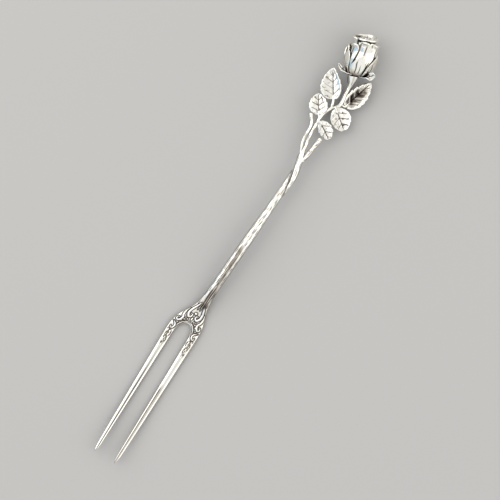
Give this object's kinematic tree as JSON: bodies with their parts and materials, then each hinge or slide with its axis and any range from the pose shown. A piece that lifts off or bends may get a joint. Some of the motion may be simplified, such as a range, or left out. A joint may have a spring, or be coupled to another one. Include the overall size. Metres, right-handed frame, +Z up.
{
  "type": "serving fork",
  "caption": "Slim silver serving fork with long tapered tines, a chased shoulder, a bark stem and a handle ending in a rose sprig with leaves.",
  "frame": {"origin": "centre of the bounding box's bottom, on the table that the fork lies on", "axes": "+X from the tine tips to the rose, +Y to the left of the fork, +Z up, out of its face"},
  "size_m": [0.1608, 0.0166, 0.0131],
  "materials": {
    "polished_silver": "polished silver with chased scrolls darkened in their recesses",
    "bark_silver": "silver chased with bark grooves, darkened in the grooves",
    "leaf_silver": "silver chased with leaf veins, darkened in the veins",
    "petal_silver": "polished silver, darkened between the petals"
  },
  "bodies": {
    "root": {"fork_blade": "polished_silver", "main_stem": "bark_silver", "upper_shoot": "bark_silver", "left_twig": "bark_silver", "right_twig": "bark_silver", "rose_stalk": "leaf_silver", "upper_left_leaf": "leaf_silver", "lower_left_leaf": "leaf_silver", "upper_right_leaf": "leaf_silver", "lower_right_leaf": "leaf_silver", "small_leaf": "leaf_silver", "calyx": "leaf_silver", "rose_core": "petal_silver", "heart_scroll": "petal_silver", "inner_petal_1": "petal_silver", "inner_petal_2": "petal_silver", "inner_petal_3": "petal_silver", "outer_petal_1": "petal_silver", "outer_petal_2": "petal_silver", "outer_petal_3": "petal_silver", "outer_petal_4": "petal_silver", "outer_petal_5": "petal_silver", "outer_petal_6": "petal_silver", "outer_petal_7": "petal_silver", "guard_petal_1": "petal_silver", "guard_petal_2": "petal_silver", "guard_petal_3": "petal_silver", "guard_petal_4": "petal_silver", "guard_petal_5": "petal_silver", "guard_petal_6": "petal_silver"}
  },
  "joints": []
}
